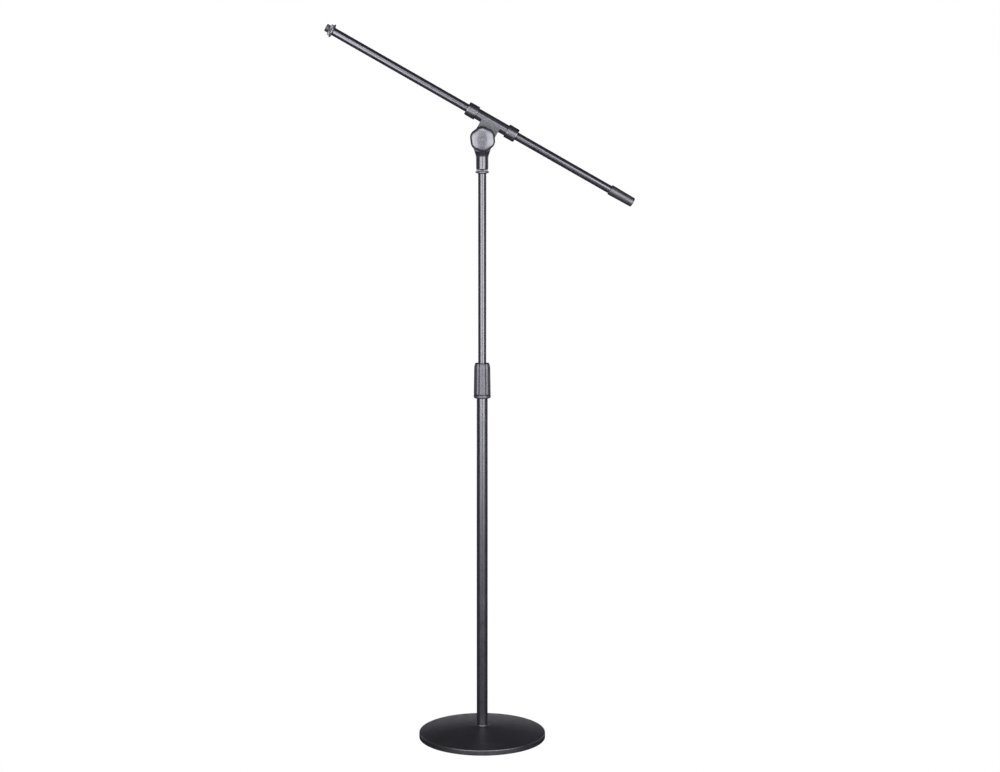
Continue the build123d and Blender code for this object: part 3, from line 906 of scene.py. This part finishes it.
class STAND_OT_knob(bpy.types.Operator):
    """Six-sided clamping knob with a crowned face, and its brass insert"""

    bl_idname = "stand.knob"
    bl_label = "Knob"

    def execute(self, context):
        sizes = context.scene.stand_sizes
        dress("knob_insert", "turned_brass")
        start, end, _ = extent("knob", PIVOT)
        flat, hub, bore = 23.75 * MM, 12 * MM, 6.52 * MM
        dish = sizes.knob_dish / 2
        shoulder = start + 4 * MM
        insert_end = start + 14 * MM
        turn = radians(7)  # the flats stand a little off level
        outline = rounded(
            [
                # the hole for the insert and the hub round it
                (0, insert_end, 0),
                (bore, insert_end, 0.1 * MM),
                (bore, start, 0.3 * MM),
                (hub, start, 0.6 * MM),
                (hub, shoulder, 0.5 * MM),
                # the six-sided rim
                (flat, shoulder, 2 * MM),
                (flat, end - 5.2 * MM, 2.2 * MM),
                (flat - 2.2 * MM, end - 2.5 * MM, 1.8 * MM),
                # the crowned face
                (dish + 2.8 * MM, end - 1.25 * MM, 1.8 * MM),
                (dish * 0.85, end - 0.45 * MM, 3 * MM),
                (dish * 0.5, end, 3 * MM),
                (0, end, 0),
            ],
            steps=7,
        )

        def six_sided(angle, radius, height):
            if height < shoulder - 0.2 * MM and radius < hub + 0.6 * MM:
                return radius
            stretch = hexagon_reach(angle - turn, flat, sizes.knob_corner) / flat - 1
            return radius * (1 + stretch * smooth((radius - dish) / (flat - dish)))

        place_piece(
            turned(closer(outline, 1.6 * MM), 180, six_sided),
            "clamping_knob",
            PIVOT,
            "gloss_abs",
            "knob",
            ["knob"],
            sharp=50,
        )
        return {"FINISHED"}


class STAND_OT_tee(bpy.types.Operator):
    """Tee clamp and the two nylon collars in its barrel"""

    bl_idname = "stand.tee"
    bl_label = "Tee"

    def execute(self, context):
        dress("tee_clamp", "coated_die_casting")
        barrel_end = 33.3 * MM  # from the tee's middle
        bore, sleeve = 8.1 * MM, 9.2 * MM  # round the boom, and inside the barrel
        for node, side in (("tee_bush_tip", 1), ("tee_bush_tail", -1)):
            start, end, radius = extent(node, BOOM)
            near, far = (start, end) if side > 0 else (end, start)
            step = side * barrel_end
            outline = rounded(
                [
                    (bore, near, 0.1 * MM),
                    (sleeve, near, 0.3 * MM),
                    (sleeve, step, 0),
                    (radius, step, 0.9 * MM),
                    (radius - 0.12 * MM, far - side * 3 * MM, 0.6 * MM),
                    (radius - 0.5 * MM, far, 0.9 * MM),
                    (bore + 1.1 * MM, far, 0.3 * MM),
                    (bore, far - side * 1.0 * MM, 0.2 * MM),
                ]
            )
            place_piece(
                turned(closer(outline, 4 * MM), 120),
                f"{node}_collar",
                BOOM,
                "moulded_nylon",
                "tee",
                [node],
            )
        return {"FINISHED"}


class STAND_OT_boom_ends(bpy.types.Operator):
    """Threaded stud, lock ring and end cap of the boom"""

    bl_idname = "stand.boom_ends"
    bl_label = "Boom ends"

    def execute(self, context):
        sizes = context.scene.stand_sizes
        start, end, flange = extent("boom_stud", BOOM)
        tube_end = extent("boom_tube", BOOM)[1]
        flange_end = tube_end + 4 * MM
        free = end - 7.6 * MM  # where the thread stands past the lock ring
        neck = STUD_RADIUS - 0.54 * MM
        centre_depth = 1.6 * MM  # of the turned hollow in the stud's end
        outline = rounded(
            [
                (0, start, 0),
                (STUD_PLUG, start, 0.4 * MM),
                (STUD_PLUG, tube_end, 0),
                (TUBE_RADIUS, tube_end, 0),
                (flange, tube_end + 1.4 * MM, 0.5 * MM),
                (flange, flange_end, 0.5 * MM),
                (neck, flange_end, 0.1 * MM),
                (neck, free, 0),
                (STUD_RADIUS, free, 0),
                (STUD_RADIUS, end - STUD_CHAMFER, 0),
                (STUD_RADIUS - STUD_CHAMFER, end, 0.15 * MM),
                (4.2 * MM, end, 0.3 * MM),
                (3.6 * MM, end - centre_depth, 0.3 * MM),
                (0, end - centre_depth, 0),
            ]
        )
        thread = stud_thread(sizes, free - 0.3 * MM, end)

        place_piece(
            turned(closer(outline, sizes.thread_pitch / 6), 96, thread),
            "boom_threaded_stud",
            BOOM,
            "black_oxide_steel",
            "boom",
            ["boom_stud"],
        )
        knurled_ring("boom_lock_ring", "boom_lock_nut", BOOM, "boom_lock_ring", sizes)

        start, end, radius = extent("boom_end_cap", BOOM)
        tail = extent("boom_tube", BOOM)[0]
        bore = 8.02 * MM  # a push fit on the boom
        dimple = 0.5 * MM
        outline = rounded(
            [
                (0, start + dimple, 0),
                (4.4 * MM, start + dimple, 0.3 * MM),
                (5 * MM, start, 0.3 * MM),
                (radius - 0.95 * MM, start, 2.3 * MM),
                (radius, end, 1.4 * MM),
                (bore, end, 0.3 * MM),
                (bore, tail, 0),
                (0, tail, 0),
            ]
        )
        place_piece(
            turned(closer(outline, 5 * MM), 120),
            "boom_tail_cap",
            BOOM,
            "soft_vinyl",
            "boom_slider",
            ["boom_end_cap"],
        )
        return {"FINISHED"}


# ---- Studio ----


def softbox(name, location, aim, width, height, power):
    """A soft rectangular light that the camera doesn't see."""
    data = bpy.data.lights.new(name, "AREA")
    data.shape = "RECTANGLE"
    data.size, data.size_y = width, height
    data.energy = power
    data.color = linear("#f6f5ff")[:3]
    lamp = bpy.data.objects.new(name, data)
    lamp.location = location
    lamp.rotation_euler = (Vector(aim) - Vector(location)).to_track_quat("-Z", "Y").to_euler()
    lamp.visible_camera = False
    bpy.context.scene.collection.objects.link(lamp)


def disc(radius, rings=6, sides=64):
    """A flat round mesh on the floor's plane, its rings closer towards the middle."""
    mesh = bmesh.new()
    rows = []
    for k in range(1, rings + 1):
        reach = radius * (k / rings) ** 2
        angles = [tau * a / sides for a in range(sides)]
        rows.append([mesh.verts.new((reach * cos(a), reach * sin(a), 0)) for a in angles])
    middle = mesh.verts.new((0, 0, 0))
    for a in range(sides):
        b = (a + 1) % sides
        mesh.faces.new([middle, rows[0][a], rows[0][b]])
        for inner, outer in zip(rows, rows[1:]):
            mesh.faces.new([inner[a], outer[a], outer[b], inner[b]])
    return mesh


class STAND_OT_studio(bpy.types.Operator):
    """Camera, soft lights, white surround and pale floor"""

    bl_idname = "stand.studio"
    bl_label = "Studio"

    def execute(self, context):
        scene = context.scene
        studio = scene.stand_studio

        camera_data = bpy.data.cameras.new("studio_camera")
        camera_data.sensor_width = 36
        camera_data.lens = studio.lens
        camera_data.shift_x = studio.shift
        camera_data.shift_y = studio.rise
        camera_data.clip_end = 200
        camera = bpy.data.objects.new("studio_camera", camera_data)
        camera.location = (-studio.aside, -studio.distance, studio.height)
        camera.rotation_euler = (pi / 2 - studio.tilt, 0, -atan2(studio.aside, studio.distance))
        scene.collection.objects.link(camera)
        scene.camera = camera

        # The front pair stands round a gap in front of the stand; the left one is narrower.
        half_gap, full_width = 0.22, 1.62
        for side, name, width in ((-1, "softbox_left", 1.38), (1, "softbox_right", full_width)):
            middle = side * (half_gap + width / 2)
            power = studio.softbox_power * width / full_width
            softbox(name, (middle, -1.80, 1.05), (0, 0, 1.05), width, 1.75, power)
            rear = (side * 2.0, 2.0, 0.95)
            softbox(f"{name}_rear", rear, (0, 0, 0.95), 0.9, 1.8, studio.rear_power)
        top_power = studio.softbox_power * 0.16
        softbox("softbox_top", (0, -1.9, 2.15), (0, 0, 1.19), 0.7, 0.5, top_power)
        softbox("horizon_card", (0, 3.2, 0.2), (0, 0, 0.1), 3.2, 0.4, studio.horizon_power)

        mesh = disc(studio.floor_radius)
        data = bpy.data.meshes.new("studio_floor")
        mesh.to_mesh(data)
        mesh.free()
        floor = bpy.data.objects.new("studio_floor", data)
        scene.collection.objects.link(floor)
        # The floor bounces light as paper does, and the camera sees it as pure white.
        white = (1, 1, 1, 1)
        material, tree, output = new_material("matt_studio_floor")
        ray = add_node(tree, "ShaderNodeLightPath")
        paper = add_node(
            tree, "ShaderNodeBsdfPrincipled", {"Base Color": studio.floor, "Roughness": 0.9}
        )
        glow = add_node(tree, "ShaderNodeEmission", {"Color": white, "Strength": 1.0})
        seen = add_node(
            tree,
            "ShaderNodeMixShader",
            links={
                0: ray.outputs["Is Camera Ray"],
                1: paper.outputs["BSDF"],
                2: glow.outputs["Emission"],
            },
        )
        tree.links.new(seen.outputs["Shader"], output.inputs["Surface"])
        data.materials.append(material)
        floor.visible_glossy = False

        world = bpy.data.worlds.new("studio_surround")
        world.use_nodes = True
        tree = world.node_tree
        tree.nodes.clear()
        output = add_node(tree, "ShaderNodeOutputWorld")
        ray = add_node(tree, "ShaderNodeLightPath")
        cool = linear("#e8ecf4")
        # Matt surfaces see a soft fill, glossy ones a near-dark room, the camera pure white.
        fill = add_node(tree, "ShaderNodeBackground", {"Color": cool, "Strength": 0.30})
        gleam = add_node(tree, "ShaderNodeBackground", {"Color": cool, "Strength": 0.05})
        backdrop = add_node(tree, "ShaderNodeBackground", {"Color": white, "Strength": 1.0})
        soft = add_node(
            tree,
            "ShaderNodeMixShader",
            links={
                0: ray.outputs["Is Glossy Ray"],
                1: fill.outputs["Background"],
                2: gleam.outputs["Background"],
            },
        )
        seen = add_node(
            tree,
            "ShaderNodeMixShader",
            links={
                0: ray.outputs["Is Camera Ray"],
                1: soft.outputs["Shader"],
                2: backdrop.outputs["Background"],
            },
        )
        tree.links.new(seen.outputs["Shader"], output.inputs["Surface"])
        scene.world = world
        scene.view_settings.view_transform = "Standard"
        return {"FINISHED"}


PIECES = (
    STAND_OT_base,
    STAND_OT_tubes,
    STAND_OT_clutch,
    STAND_OT_swivel,
    STAND_OT_knob,
    STAND_OT_tee,
    STAND_OT_boom_ends,
    STAND_OT_studio,
)


class VIEW3D_PT_stand(bpy.types.Panel):
    """The stand's pieces, in the order they are made"""

    bl_label = "Boom Stand"
    bl_idname = "VIEW3D_PT_stand"
    bl_space_type = "VIEW_3D"
    bl_region_type = "UI"
    bl_category = "Stand"

    def draw(self, context):
        layout = self.layout
        for piece in PIECES:
            layout.operator(piece.bl_idname)
        scene = context.scene
        for group in (scene.stand_sizes, scene.stand_colours, scene.stand_studio):
            box = layout.box()
            for name in group.__annotations__:
                box.prop(group, name)


CLASSES = (StandSizes, StandColours, StudioSettings, *PIECES, VIEW3D_PT_stand)


def register():
    for item in CLASSES:
        bpy.utils.register_class(item)
    bpy.types.Scene.stand_sizes = PointerProperty(type=StandSizes)
    bpy.types.Scene.stand_colours = PointerProperty(type=StandColours)
    bpy.types.Scene.stand_studio = PointerProperty(type=StudioSettings)


def unregister():
    del bpy.types.Scene.stand_studio
    del bpy.types.Scene.stand_colours
    del bpy.types.Scene.stand_sizes
    for item in reversed(CLASSES):
        bpy.utils.unregister_class(item)


def main():
    """Make every piece in order."""
    register()
    for piece in PIECES:
        group, name = piece.bl_idname.split(".")
        getattr(getattr(bpy.ops, group), name)()


if __name__ == "__main__":
    main()
